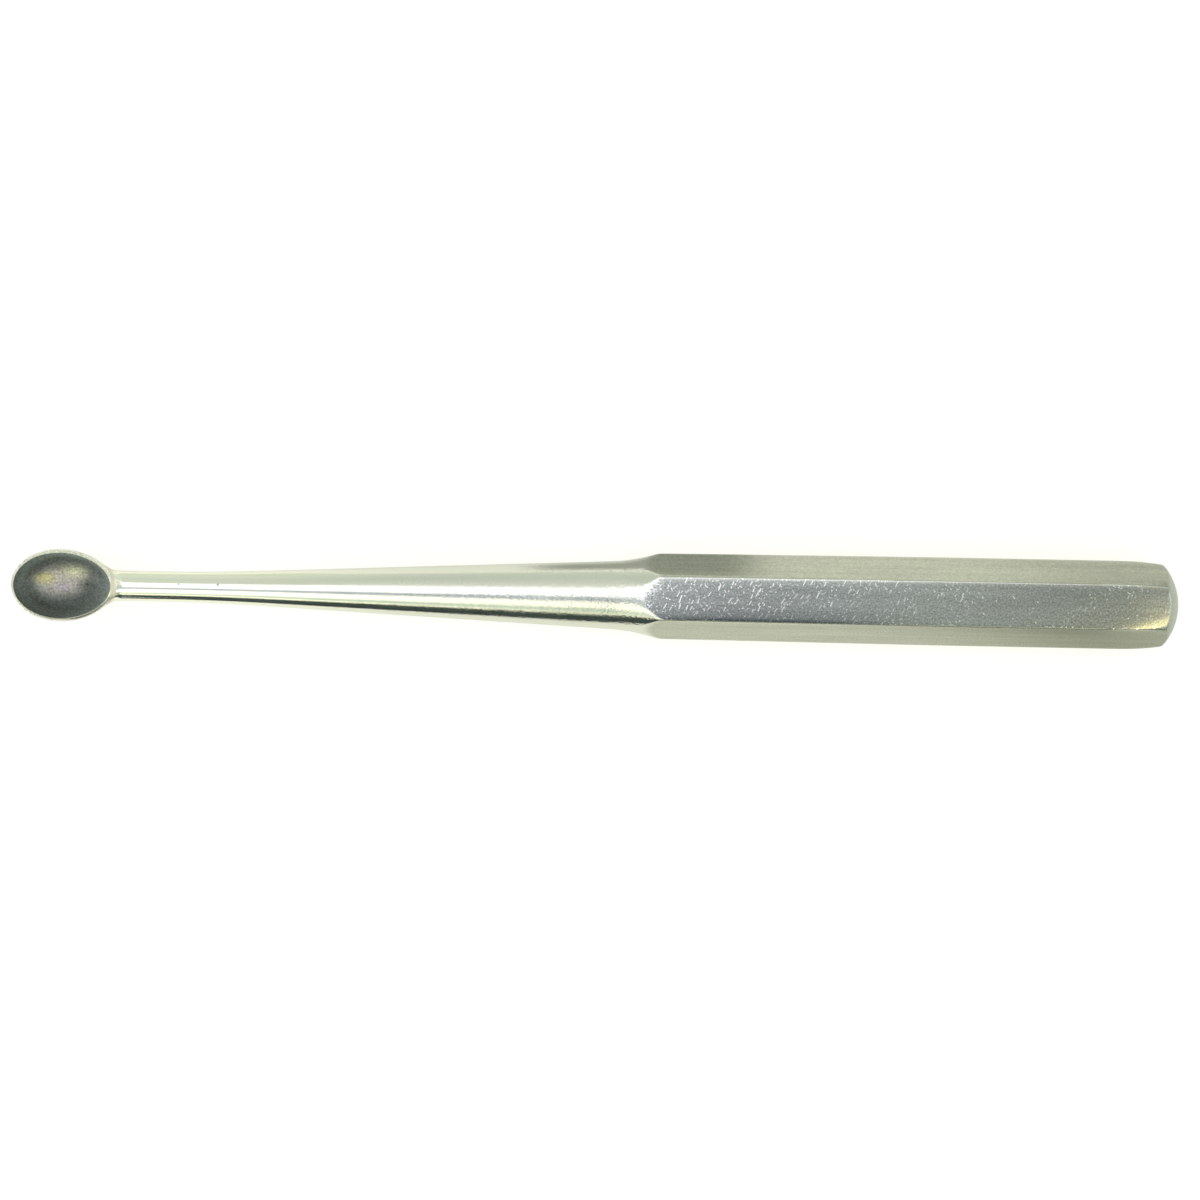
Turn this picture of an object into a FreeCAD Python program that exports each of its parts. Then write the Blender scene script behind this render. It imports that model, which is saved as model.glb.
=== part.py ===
"""Straight bone curette: an oval cutting cup, a tapered round neck and a six-sided grip, all one piece.

The instrument lies along X on the lower flat of its grip, with the cup's mouth up. While it is built, x is
measured from the tip of the cup. Sizes are in millimetres.
"""

import FreeCAD, Part
import math
import os

from FreeCAD import Matrix, Rotation, Vector

# Cup: the mouth is the sharp inner edge of the rim, and the bevel slopes down and out from it
CUP_LENGTH = 15.0
CUP_WIDTH = 10.5
CUP_DEPTH = 5.3
CUP_FLOOR_WALL = 0.8
CUP_ROOT_RADIUS = 1.4
ROOT_CROWN_WIDTH = 6.4
RIM_BEVEL_WIDTH = 0.44
RIM_BEVEL_HEIGHT = 0.5
RIM_FOOT_ABOVE_NECK = 0.1

# Neck: thin and straight behind the cup, then a long taper
NECK_DIAMETER = 4.44
NECK_STRAIGHT_LENGTH = 13.6
NECK_TAPER_LENGTH = 62.6
NECK_REAR_DIAMETER = 10.3
NECK_TAPER_BLEND_RADIUS = 60.0

# Shoulder: the turned swell that the flats of the grip cut into
SHOULDER_LENGTH = 3.4
SHOULDER_HOLLOW_RADIUS = 23.5

# Grip: a hexagon that grows a little over its first half, with worn ridges and a domed end
GRIP_LENGTH = 75.4
GRIP_SWELL_LENGTH = 40.0
GRIP_FLATS_FRONT = 10.98
GRIP_FLATS_REAR = 11.32
GRIP_RIDGE_WEAR = 0.08
END_EASE_LENGTH = 3.5
END_EASE_DEPTH = 0.5
END_DOME_HEIGHT = 2.3

SIDES = 6

# How far a turned blank or a cutting bar stands clear of what it leaves whole, and what counts as touching
BLANK_CLEARANCE = 0.25
TOUCH = 0.001

# Stations along the instrument and heights above the table
NECK_TAPER_START = CUP_LENGTH + NECK_STRAIGHT_LENGTH
NECK_TAPER_END = NECK_TAPER_START + NECK_TAPER_LENGTH
GRIP_START = NECK_TAPER_END + SHOULDER_LENGTH
SWELL_END = GRIP_START + GRIP_SWELL_LENGTH
TOTAL_LENGTH = GRIP_START + GRIP_LENGTH
AXIS_HEIGHT = GRIP_FLATS_FRONT / 2
REAR_AXIS_HEIGHT = GRIP_FLATS_REAR / 2
NECK_TOP = AXIS_HEIGHT + NECK_DIAMETER / 2
RIM_FOOT = NECK_TOP + RIM_FOOT_ABOVE_NECK
RIM_HEIGHT = RIM_FOOT + RIM_BEVEL_HEIGHT
CUP_CENTRE = CUP_LENGTH / 2


def corner_radius(flats):
    """Distance from the middle of a hexagon to its corners."""
    return flats / 2 / math.cos(math.pi / SIDES)


def rounded(corners):
    """Straight edges through the corners, each given as a point and a radius, with an arc at each radius."""
    edges = []
    start = corners[0][0]
    for i, (point, radius) in enumerate(corners[1:-1], 1):
        before = (corners[i - 1][0] - point).normalize()
        after = (corners[i + 1][0] - point).normalize()
        half_turn = (math.pi - before.getAngle(after)) / 2
        cut = radius * math.tan(half_turn)
        edges.append(Part.LineSegment(start, point + before * cut).toShape())
        start = point + after * cut
        if radius:
            middle = point + (before + after).normalize() * (radius / math.cos(half_turn) - radius)
            edges.append(Part.Arc(point + before * cut, middle, start).toShape())
    edges.append(Part.LineSegment(start, corners[-1][0]).toShape())
    return edges


def turned(edges, height):
    """Solid turned from a half outline that starts and ends on the line y = 0, laid along X at a height."""
    ends = [edges[-1].Vertexes[-1].Point, edges[0].Vertexes[0].Point]
    outline = Part.Wire(edges + [Part.LineSegment(*ends).toShape()])
    solid = Part.Face(outline).revolve(Vector(0, 0, 0), Vector(1, 0, 0), 360)
    solid.translate(Vector(0, 0, height))
    return solid


def neck_and_shoulder():
    """Turned front: straight neck, taper, hollow shoulder, and then a blank that stands clear of the grip."""
    neck = NECK_DIAMETER / 2
    neck_rear = NECK_REAR_DIAMETER / 2
    ridge = corner_radius(GRIP_FLATS_FRONT)
    blank = corner_radius(GRIP_FLATS_REAR) + BLANK_CLEARANCE
    runout = SHOULDER_LENGTH * (blank - neck_rear) / (ridge - neck_rear)
    corners = [
        (Vector(CUP_CENTRE, 0, 0), 0),
        (Vector(CUP_CENTRE, neck, 0), 0),
        (Vector(NECK_TAPER_START, neck, 0), NECK_TAPER_BLEND_RADIUS),
        (Vector(NECK_TAPER_END, neck_rear, 0), SHOULDER_HOLLOW_RADIUS),
        (Vector(NECK_TAPER_END + runout, blank, 0), 0),
        (Vector(TOTAL_LENGTH, blank, 0), 0),
        (Vector(TOTAL_LENGTH, 0, 0), 0),
    ]
    return turned(rounded(corners), AXIS_HEIGHT)


def domed_end():
    """Turned envelope of the grip's end: its ridges are eased first, and then it closes in a dome."""
    ridge = corner_radius(GRIP_FLATS_REAR)
    blank = ridge + BLANK_CLEARANCE
    dome_base = ridge - END_EASE_DEPTH
    dome_start = TOTAL_LENGTH - END_DOME_HEIGHT
    ease_slope = END_EASE_DEPTH / END_EASE_LENGTH
    ease_start = dome_start - (blank - dome_base) / ease_slope
    dome_radius = (dome_base ** 2 + END_DOME_HEIGHT ** 2) / (2 * END_DOME_HEIGHT)
    half_way = math.asin(dome_base / dome_radius) / 2
    dome_centre = TOTAL_LENGTH - dome_radius
    on_dome = Vector(dome_centre + dome_radius * math.cos(half_way), dome_radius * math.sin(half_way), 0)
    sides = rounded([
        (Vector(0, 0, 0), 0),
        (Vector(0, blank, 0), 0),
        (Vector(ease_start, blank, 0), 0),
        (Vector(dome_start, dome_base, 0), 0),
    ])
    dome = Part.Arc(Vector(dome_start, dome_base, 0), on_dome, Vector(TOTAL_LENGTH, 0, 0)).toShape()
    return turned(sides + [dome], REAR_AXIS_HEIGHT)


def hexagon(x, flats):
    """Closed ring of corners: a hexagon across the instrument, on its lower flat, its ridges worn."""
    reach = corner_radius(flats) - GRIP_RIDGE_WEAR
    half_width = GRIP_RIDGE_WEAR * math.tan(math.pi / 2 - math.pi / SIDES)
    points = []
    for i in range(SIDES):
        turn = Rotation(Vector(1, 0, 0), 360 * i / SIDES)
        for y in (-half_width, half_width):
            points.append(Vector(x, 0, flats / 2) + turn.multVec(Vector(0, reach, y)))
    return points + points[:1]


def hexagon_bar():
    """Bar that gives the grip its flats. It reaches forward round the neck, which it leaves whole."""
    outlines = [
        hexagon(0, GRIP_FLATS_FRONT),
        hexagon(NECK_TAPER_END, GRIP_FLATS_FRONT),
        hexagon(SWELL_END, GRIP_FLATS_REAR),
        hexagon(TOTAL_LENGTH + BLANK_CLEARANCE, GRIP_FLATS_REAR),
    ]
    faces = [Part.Face(Part.makePolygon(outline)) for outline in (outlines[0], outlines[-1])]
    for front, rear in zip(outlines, outlines[1:]):
        for i in range(len(front) - 1):
            corners = [front[i], front[i + 1], rear[i + 1], rear[i], front[i]]
            faces.append(Part.Face(Part.makePolygon(corners)))
    return Part.makeSolid(Part.makeShell(faces)).removeSplitter()


def stretched(shape, along_x, along_y, along_z, height):
    """Shape of unit size stretched in each direction and set over the middle of the cup at a height."""
    matrix = Matrix()
    matrix.scale(along_x, along_y, along_z)
    matrix.move(Vector(CUP_CENTRE, 0, height))
    return shape.transformGeometry(matrix)


def cup_blank():
    """Outside of the cup before its rim is ground: an egg-shaped back under an upright oval wall."""
    depth = CUP_DEPTH + CUP_FLOOR_WALL - RIM_BEVEL_HEIGHT
    wall_height = (RIM_BEVEL_HEIGHT + 2 * CUP_ROOT_RADIUS) / depth
    arc = Part.Arc(Vector(0, 0, -1), Vector(-math.sqrt(0.5), 0, -math.sqrt(0.5)), Vector(-1, 0, 0)).toShape()
    points = [Vector(-1, 0, 0), Vector(-1, 0, wall_height), Vector(0, 0, wall_height), Vector(0, 0, -1)]
    outline = Part.Wire([arc] + Part.makePolygon(points).Edges)
    solid = Part.Face(outline).revolve(Vector(0, 0, 0), Vector(0, 0, 1), 360)
    return stretched(solid, CUP_LENGTH / 2, CUP_WIDTH / 2, depth, RIM_FOOT)


def rim_oval(height, outset):
    """Oval outline at a height, outset from the mouth of the cup."""
    long_radius = CUP_LENGTH / 2 - RIM_BEVEL_WIDTH + outset
    short_radius = CUP_WIDTH / 2 - RIM_BEVEL_WIDTH + outset
    oval = Part.Ellipse(Vector(CUP_CENTRE, 0, height), long_radius, short_radius)
    return Part.Wire(oval.toShape())


def root_edges(blank):
    """Edges where the neck runs into the back of the cup."""
    edges = []
    for edge in blank.Edges:
        middle = edge.valueAt((edge.FirstParameter + edge.LastParameter) / 2)
        off_axis = math.hypot(middle.y, middle.z - AXIS_HEIGHT)
        straight = edge.BoundBox.YLength < TOUCH
        if middle.x < CUP_LENGTH and abs(off_axis - NECK_DIAMETER / 2) < TOUCH and not straight:
            edges.append(edge)
    return edges


def root_crown():
    """Low arched bar along the neck: the top of the cup's root is dressed down to it."""
    bar = Part.makeCylinder(1, CUP_LENGTH, Vector(0, 0, 0), Vector(1, 0, 0))
    height = NECK_DIAMETER / 2 + RIM_FOOT_ABOVE_NECK / 2
    return stretched(bar, 1, ROOT_CROWN_WIDTH / 2, height, AXIS_HEIGHT)


def rim_waste():
    """Everything round and over the rim that grinding its bevel takes off, down to the crown of the root."""
    bevel_slope = RIM_BEVEL_WIDTH / RIM_BEVEL_HEIGHT
    bevel_foot = rim_oval(AXIS_HEIGHT, (RIM_HEIGHT - AXIS_HEIGHT) * bevel_slope)
    bevel = Part.makeLoft([bevel_foot, rim_oval(RIM_HEIGHT, 0)], True, True)
    slab = Part.makeBox(CUP_LENGTH * 2, CUP_WIDTH * 2, CUP_DEPTH)
    slab.translate(Vector(-CUP_CENTRE, -CUP_WIDTH, AXIS_HEIGHT))
    return slab.cut(bevel).cut(root_crown())


def hollow():
    """Inside of the cup: half of an egg, as wide as the mouth."""
    long_radius = CUP_LENGTH / 2 - RIM_BEVEL_WIDTH
    short_radius = CUP_WIDTH / 2 - RIM_BEVEL_WIDTH
    return stretched(Part.makeSphere(1), long_radius, short_radius, CUP_DEPTH, RIM_HEIGHT)


def curette():
    """The whole instrument: turned and flatted, its cup blended on, ground and hollowed."""
    shaft = neck_and_shoulder().common(hexagon_bar()).common(domed_end())
    blank = shaft.fuse(cup_blank())
    blended = blank.makeFillet(CUP_ROOT_RADIUS, root_edges(blank))
    return blended.cut(rim_waste()).cut(hollow()).Solids[0]


def main():
    shape = curette()
    shape.translate(Vector(-TOTAL_LENGTH / 2, 0, 0))
    os.makedirs("parts", exist_ok=True)
    shape.exportStep("parts/curette.step")
    box = shape.BoundBox
    print("faces", len(shape.Faces), "valid", shape.isValid(), "volume", round(shape.Volume, 1))
    print("box", [round(v, 3) for v in (box.XMin, box.XMax, box.YMin, box.YMax, box.ZMin, box.ZMax)])


main()
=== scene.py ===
"""Looks of a straight bone curette: polished neck, matt hollow and brushed, scratched flats on its grip."""

import math

import bpy
import numpy as np
from mathutils import Matrix, Vector


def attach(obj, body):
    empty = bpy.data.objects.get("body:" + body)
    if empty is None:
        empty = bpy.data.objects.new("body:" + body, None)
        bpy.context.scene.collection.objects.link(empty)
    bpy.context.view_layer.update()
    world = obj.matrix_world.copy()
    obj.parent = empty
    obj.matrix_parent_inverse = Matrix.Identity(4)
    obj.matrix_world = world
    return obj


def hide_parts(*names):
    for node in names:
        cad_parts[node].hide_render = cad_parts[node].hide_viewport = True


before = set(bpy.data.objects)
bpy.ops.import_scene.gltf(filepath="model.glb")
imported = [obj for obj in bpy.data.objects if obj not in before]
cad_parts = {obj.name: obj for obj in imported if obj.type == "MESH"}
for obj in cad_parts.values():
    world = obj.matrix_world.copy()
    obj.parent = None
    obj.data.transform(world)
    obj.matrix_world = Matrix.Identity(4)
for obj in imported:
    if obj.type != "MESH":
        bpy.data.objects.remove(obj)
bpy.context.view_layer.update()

MM = 0.001
TINY = 1e-9

# Shape, in millimetres. Stations run from the tip of the cup, and heights from the table.
TOTAL_LENGTH = 170.0
CUP_CENTRE = 7.5
CUP_HALF_LENGTH = 7.5
CUP_HALF_WIDTH = 5.25
CUP_DEPTH = 5.3
CUP_FLOOR_WALL = 0.8
CUP_NARROWING = 0.05
CUP_ROOT_RADIUS = 1.4
RIM_ABOVE_NECK = 0.1
ROOT_CROWN_HALF_WIDTH = 3.2
ROOT_CROWN_HALF_HEIGHT = 2.27
BEVEL_WIDTH = 0.44
BEVEL_HEIGHT = 0.5
CROWN_SHARPNESS = 4.5
FRONT_SHARPNESS = 14.0
CROWN_START = 11.5
CROWN_END = 16.5
CROWN_RELEASE = 0.15
FRONT_END = 30.0
NICK_WIDTH = 0.03
NICK_SHALLOWEST = 0.3
# Stretches of the rim in degrees from the neck side, nicks in each and the deepest of them
NICKED = [
    (95, 150, 14, 0.11), (150, 180, 6, 0.09), (-180, -150, 6, 0.08),
    (25, 60, 4, 0.07), (-150, -60, 8, 0.04),
]
NECK_FRONT = 9.0
NECK_FRONT_SLOPE = 2.0
NECK_RADIUS = 2.22
TAPER_START = 28.6
TAPER_SLOPE = 0.0468
TAPER_BLEND = 8.0
SHOULDER_START = 91.2
SHOULDER_SLOPE = 0.35
SHOULDER_BLEND = 3.4
SHOULDER_SIX_SIDED = 0.012
SIX_SIDED_START = 84.0
SIX_SIDED_BLEND = 8.0
GRIP_START = 94.6
SWELL_END = 134.6
FLATS_FRONT = 10.98
FLATS_REAR = 11.32
DOME_START = 167.7
DOME_BASE_RADIUS = 6.035
END_EASE_SLOPE = 0.143
FLAT_CROWN = 0.35
RIDGE_SHARPNESS = 9.0
SIDE_RIDGE_SHARPNESS = 19.0
SIDE_RIDGE_PLACE = 4.9
SIDE_RIDGE_RELEASE = 40.0
NEAR_SIDE = 0.5
NEAR_RIDGE_CRISPER = 16.0
END_RIDGE_CRISPER = 24.0
RIDGE_REACH = 0.25
TOP_GROUND_FADE = 0.07
SIDE_GROUND_FADE = 0.3
EDGE_SHARPNESS = 16.0
END_SHARPNESS = 7.0
END_DIP = 0.12
END_DIP_LENGTH = 6.0
END_DIP_LIMIT = 1.3

AXIS_HEIGHT = FLATS_FRONT / 2
REAR_AXIS_HEIGHT = FLATS_REAR / 2
RIM_FOOT = AXIS_HEIGHT + NECK_RADIUS + RIM_ABOVE_NECK
RIM_HEIGHT = RIM_FOOT + BEVEL_HEIGHT
CUP_BACK_DEPTH = CUP_DEPTH + CUP_FLOOR_WALL - BEVEL_HEIGHT
MOUTH_HALF_LENGTH = CUP_HALF_LENGTH - BEVEL_WIDTH
MOUTH_HALF_WIDTH = CUP_HALF_WIDTH - BEVEL_WIDTH
DOME_HEIGHT = TOTAL_LENGTH - DOME_START
DOME_RADIUS = (DOME_BASE_RADIUS ** 2 + DOME_HEIGHT ** 2) / (2 * DOME_HEIGHT)
DOME_CENTRE = TOTAL_LENGTH - DOME_RADIUS
MIDDLE = [TOTAL_LENGTH / 2, 0, 0]

# Mesh grid: columns run round the instrument from the top, rows along it
BEVEL_COLUMNS = 5
SKIN_COLUMNS = 220
HOLLOW_COLUMNS = 96
TOP_SLIVER = math.radians(3)
RIDGE_CROWDING = 0.8
TIP_ROWS = 6
MOUTH_ROWS = 160
# Stretches of the neck: station that each reaches and its number of rows
NECK_ROWS = [(15.2, 12), (17.2, 18), (36.0, 20), (86.0, 20)]
SHOULDER_ROWS = 30
SHOULDER_CROWDING = 2.2
HALF_GRIP_ROWS = 26
GRIP_CROWDING = 2.6
DOME_ROWS = 22
DOME_CROWDING = 1.4
# Stations tried on the shoulder: the first, the last and their number
SHOULDER_SEARCH = (80, 100, 2001)

# Rays that find the skin: where in the section they start, how far they reach and how often they are halved
RAY_DEPTH = 0.35
RAY_SETTLED = 13.0
RAY_RISE = 10.0
RAY_REACH = 9.0
RAY_HALVINGS = 40

# Parts of the surface, as material slots
TURNED, FLATS, DOME, BEVEL, HOLLOW = range(5)

# Camera, as it stood over the instrument
VIEW_CENTRE = Vector((0.69, -0.75, 5.5)) * MM
VIEW_DISTANCE = 430 * MM
VIEW_WIDTH = 175.4 * MM
VIEW_TILT = math.radians(3.1)
VIEW_ROLL = math.radians(1.1)
NEAREST_SEEN = 10 * MM


def rectangle(left, near, right, far):
    """Corners of a rectangular card."""
    return [(left, near), (right, near), (right, far), (left, far)]


# Light of the studio: angle in degrees from overhead towards the near side, sRGB colour and strength
STUDIO = [
    (-160, (220, 222, 205), 1.0), (-100, (222, 227, 212), 1.0), (-60, (216, 226, 212), 1.0),
    (-42, (232, 236, 222), 1.0), (-31, (244, 247, 236), 1.0), (-22, (255, 255, 255), 1.6),
    (3, (255, 255, 255), 1.6), (9, (185, 195, 205), 1.0), (17, (185, 195, 200), 1.0),
    (23, (255, 255, 240), 1.6), (42, (255, 255, 232), 1.6), (50, (215, 232, 212), 1.0),
    (58, (215, 232, 212), 1.0), (61, (255, 255, 232), 1.3), (67, (255, 255, 220), 1.3),
    (71, (66, 78, 74), 1.0), (92, (66, 78, 76), 1.0), (108, (240, 243, 220), 1.0),
    (165, (240, 243, 220), 1.0),
]
# Patches in it: degrees towards the handle's end and the near side, inner and outer radius, colour, strength
PATCHES = [
    (10, 1, 3, 12, (190, 200, 188), 1.0),
    (22, -15, 7, 15, (225, 222, 192), 1.0),
]
# Cards: name, height, corners, shader, colour, and how soft they are at their ends and at their sides.
# Four darker ones lie on the paper: a black flag and three sheets of painted shade of the paper, which show
# only in the metal. Three hang over the grip and one over the neck.
DIFFUSE = "ShaderNodeBsdfDiffuse"
GLOWING = "ShaderNodeEmission"
NEAR_FLAG = [
    (-76, -19), (-40, -27), (30, -38), (55, -26), (78, -24), (86, -60), (86, -1900), (-1900, -1900),
    (-82, -150), (-78, -60),
]
CARDS = [
    ("near_flag", 0.4, NEAR_FLAG, DIFFUSE, (0.045, 0.055, 0.055), None),
    ("far_paper_shadow", 0.4, rectangle(-14, 5, 28, 44), DIFFUSE, (0.4, 0.41, 0.39), (9, 9)),
    ("end_card", 149, rectangle(44, -270, 112, -5), GLOWING, (0.6, 0.65, 0.55), (12, 9)),
    ("grip_card", 150, rectangle(4, -270, 82, -7), GLOWING, (0.09, 0.115, 0.13), (4, 9)),
    ("glow_card", 151, rectangle(103, -125, 175, -9), GLOWING, (3.8, 3.35, 1.7), (14, 14)),
    ("neck_card", 150, rectangle(-260, 60, -60, 400), GLOWING, (0.66, 0.71, 0.6), (12, 30)),
    ("near_paper_shade", 0.3, rectangle(35, -60, 114, -4), DIFFUSE, (0.72, 0.73, 0.65), (46, 4)),
    ("neck_paper_shade", 0.4, rectangle(-300, 15, -35, 300), DIFFUSE, (0.66, 0.7, 0.58), (20, 6)),
]
FLOOR_SIZE = 4
WHITE = (1, 1, 1, 1)
PAPER_COLOUR = (0.93, 0.93, 0.84, 1)
MIRRORED_GLOW = 0.2
SEEN_PAPER_GLOW = (0.95, 0.95, 0.61, 1)
SEEN_PAPER_SHADE = (0.08, 0.08, 0.5, 1)

# Steel: colours and roughness
POLISHED_COLOUR = (0.74, 0.745, 0.69, 1)
LIGHTER_NECK_COLOUR = (0.93, 0.93, 0.85, 1)
FLAT_COLOUR = (0.52, 0.53, 0.465, 1)
TOP_FLAT_COLOUR = (0.372, 0.392, 0.396, 1)
# White of the scratches, painted as highlights, and of the painted highlight at the tip of the upper flat
SCRATCH_HIGHLIGHT_COLOUR = (1.0, 0.98, 1.0, 1)
END_COLOUR = (0.41, 0.445, 0.41)
RIM_DULL = (0.72, 0.69, 0.6, 1)
RIM_BRIGHT = (0.98, 0.98, 0.96, 1)
POLISHED_ROUGHNESS = 0.14
FLAT_ROUGHNESS = 0.3
TOP_FLAT_ROUGHNESS = 0.22
WORN_SMOOTHER = 0.1
END_ROUGHNESS = 0.3
RIM_ROUGHNESS = 0.3
RIM_ROUGHER = 0.45
HOLLOW_ROUGHNESS = 0.55
# Depths of its marks in millimetres, and the shares that brushing and scratches take of those on the flats
TURNING_MARKS = 0.042
HOLLOW_GRAIN = 0.01
FLAT_MARKS = 0.01
BRUSHING_SHARE = 0.4
SCRATCH_SHARE = 0.25
# How strongly the streaks and the grain change the tone of the flats
FINE_STREAKS = 0.35
BROAD_STREAKS = 0.45
SIDE_GRAIN = 0.8
TOP_GRAIN = 1.7
# Noise: stretch along, across and from flat to flat, scale and detail
FLATS_APART = 31
MARK_NOISE = ((1.6, 1, 1), 2.2, 4.0)
CLOUD_NOISE = ((0.3, 1, 1), 1.2)
BRUSH_NOISE = ((0.07, 1, FLATS_APART), 6.0, 4.0)
BROAD_NOISE = ((0.02, 0.5, FLATS_APART), 2.0, 2.0)
GRAIN_NOISE = ((1, 1, FLATS_APART), 3.6)
CLUSTER_NOISE = ((0.16, 0.25, FLATS_APART), 1.0, 2.0)
END_NOISE = ((1, 1, 1), 3.0)
RIM_NOISE = ((1, 1, 1), 4.0)
HOLLOW_NOISE = ((1, 1, 1), 3.2, 4.0)
# Fades: where each begins and ends, and what it gives there if not 0 and 1.
# Places on the instrument are in millimetres from its middle, and the rest are shares.
MARKS_GROW = (-45, -5, 0.1, 1.0)
NECK_ROUGHNESS = (0.3, 0.7, 0.1, 0.17)
RIM_REACH = (1.15, 1.06)
BRIGHT_FADE = (-62, -18)
MORE_TO_FRONT = (8, 75, 0.4, 0.1)
MORE_TO_FAR_RIDGE = (0.5, 3.2, 0.0, 0.1)
MORE_AT_TIP = (11.5, 8.0, 0.0, 0.3)
CLUSTERS_SHOWN = (0.6, 0.86)
DINGED = (-2.7, -3.1)
TIP_ALONG = (10.4, 7.4)
TIP_ACROSS = (-0.8, 1.8)
BRIGHT_GRAIN = (0.35, 0.6)
# Painted shade: the flats grow darker towards the end.
PAINTED_SHADE_TO_END = (50, 76, 1.0, 0.77)
FAR_RIDGE = (2.0, 2.8)
END_TONE = (0.3, 0.7, 0.85, 1.1)
PALE_CENTRED = (0.5, 0.95)
SHADE_TURNS = (0.45, 0.75)
HOLLOW_SPECKLE = (0.25, 0.75, 0.68, 1.32)
# Scratches: cell, greatest length and width, lean in degrees, spread in radians, share of cells, shift.
# They are the steep ones, the short ones, dots, sparks and dings, real wear painted white as highlights.
SCRATCH_FAINTEST = 0.4
SCRATCHES = [
    (0.95, 1.25, 0.24, 57, 0.3, 0.42, 3.0),
    (0.7, 0.7, 0.2, 80, 1.5, 0.25, 17.0),
    (0.45, 0.3, 0.26, 90, 1.5, 0.22, 31.0),
    (1.1, 0.35, 0.22, 75, 1.0, 0.2, 47.0),
    (0.5, 0.5, 0.2, 20, 1.0, 0.42, 59.0),
]
# Pits in the neck: place and half size
PITS = [((-60.6, 0.45, 0), 0.22), ((-54.9, 0.5, 0), 0.3)]
PIT_COLOUR = (60, 66, 60)
PIT_STRENGTH = 0.85
# Hollow: middles of its mouth and of its pale bottom of painted light, and how its painted shade changes for
# each millimetre
MOUTH_SIZE = (MOUTH_HALF_LENGTH, MOUTH_HALF_WIDTH)
MOUTH_MIDDLE = (CUP_CENTRE - TOTAL_LENGTH / 2, 0, 0)
PALE_MIDDLE = (-78.3, 0.55, 0)
INNER_SHADE = (-0.05, 0.1, 0)
OUTER_SHADE = (0.05, 0.08, 0)
# Tones of the hollow, painted light on its bottom and brim with painted shade in a ring between, and where
# they begin and end on the way from its middle at 0 to its rim at 1
LIT_BOTTOM_TONE = (180, 175, 170)
SHADED_RING_TONE = (135, 140, 140)
LIT_BRIM_TONE = (180, 190, 190)
PALE_END = 0.3
RING_START = 0.65
RING_END = 0.8
BRIM_START = 0.95
# Spots in the hollow, with its pit last: two of painted shade, a yellow and a cream painted highlight, and a
# lilac spot. Each has a place, half sizes, colour and strength
SHADE_HIGHLIGHT_AND_PIT_SPOTS = [
    ((-79.1, 2.4, 0), (1.5, 0.9), (128, 130, 110), 0.3),
    ((-74.5, -0.3, 0), (2.4, 1.8), (86, 94, 82), 0.65),
    ((-80.7, 0.8, 0), (2.2, 1.35), (212, 206, 156), 0.9),
    ((-76.2, 1.95, 0), (3.0, 1.6), (230, 228, 200), 0.95),
    ((-78.4, -0.5, 0), (1.8, 1.2), (182, 174, 200), 0.4),
    ((-74.65, 0, 0), (0.35, 0.3), (55, 55, 52), 0.9),
]


def ramp(x, blend):
    """0 before x = 0 and x after it, rounded over plus and minus blend."""
    eased = (x + blend) ** 2 / (4 * blend)
    return np.where(x < -blend, 0, np.where(x > blend, x, eased))


def soft_max(levels, sharpness):
    """Largest of the levels, with the edge between them worn round."""
    top = np.max(levels, axis=0)
    return top + np.log(np.sum(np.exp(sharpness * (np.array(levels) - top)), axis=0)) / sharpness


def blank_radius(u):
    """Radius of the turned neck and shoulder."""
    taper = TAPER_SLOPE * ramp(u - TAPER_START, TAPER_BLEND)
    swell = (SHOULDER_SLOPE - TAPER_SLOPE) * ramp(u - SHOULDER_START, SHOULDER_BLEND)
    return NECK_RADIUS + taper + swell


def half_flats(u):
    """Half of the width across the flats of the grip."""
    grown = np.clip((u - SHOULDER_START) / (SWELL_END - SHOULDER_START), 0, 1)
    return (FLATS_FRONT + (FLATS_REAR - FLATS_FRONT) * grown) / 2


def end_dip(u):
    """Depth to which the flats roll off before the domed end."""
    run = (u - DOME_START + END_DIP_LENGTH) / END_DIP_LENGTH
    return END_DIP * np.clip(run, 0, END_DIP_LIMIT) ** 2


def turned_level(u, y, z):
    """Distance outside the turned blank, which is faintly six-sided where it swells into the grip."""
    out = np.hypot(y, z - AXIS_HEIGHT)
    turn = np.arctan2(z - AXIS_HEIGHT, y)
    near_grip = np.clip((u - SIX_SIDED_START) / SIX_SIDED_BLEND, 0, 1) ** 2
    return out - blank_radius(u) * (1 + SHOULDER_SIX_SIDED * near_grip * np.cos(6 * turn))


def ridge_sharpness(u, y):
    """The ridges are most worn on the far side, at the front of the grip."""
    near_side = np.clip(NEAR_SIDE - y, 0, 1)
    to_end = np.clip((u - GRIP_START) / (DOME_START - GRIP_START), 0, 1)
    crisp = RIDGE_SHARPNESS + NEAR_RIDGE_CRISPER * near_side + END_RIDGE_CRISPER * to_end
    off_sides = np.clip(SIDE_RIDGE_PLACE - np.abs(y), 0, 1)
    return np.minimum(crisp, SIDE_RIDGE_SHARPNESS + SIDE_RIDGE_RELEASE * off_sides)


def hexagon_level(u, y, z):
    """Distance outside the six flats, whose ridges are worn."""
    half = half_flats(u)
    sides = []
    for a in np.radians(range(30, 390, 60)):
        out = y * math.cos(a) + (z - half) * math.sin(a)
        across = y * math.sin(a) - (z - half) * math.cos(a)
        sides.append(out - half + FLAT_CROWN * (across / half) ** 4 + end_dip(u))
    return soft_max(sides, ridge_sharpness(u, y))


def end_level(u, y, z):
    """Distance outside the domed end and the easing of the ridges before it."""
    out = np.hypot(y, z - REAR_AXIS_HEIGHT)
    dome = np.hypot(np.maximum(u - DOME_CENTRE, 0), out) - DOME_RADIUS
    ease = out - DOME_BASE_RADIUS - END_EASE_SLOPE * (DOME_START - u)
    return dome, ease


def narrowing(u):
    """The cup is a little narrower towards the neck."""
    return 1 - CUP_NARROWING * (u - CUP_CENTRE) / CUP_HALF_LENGTH


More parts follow.
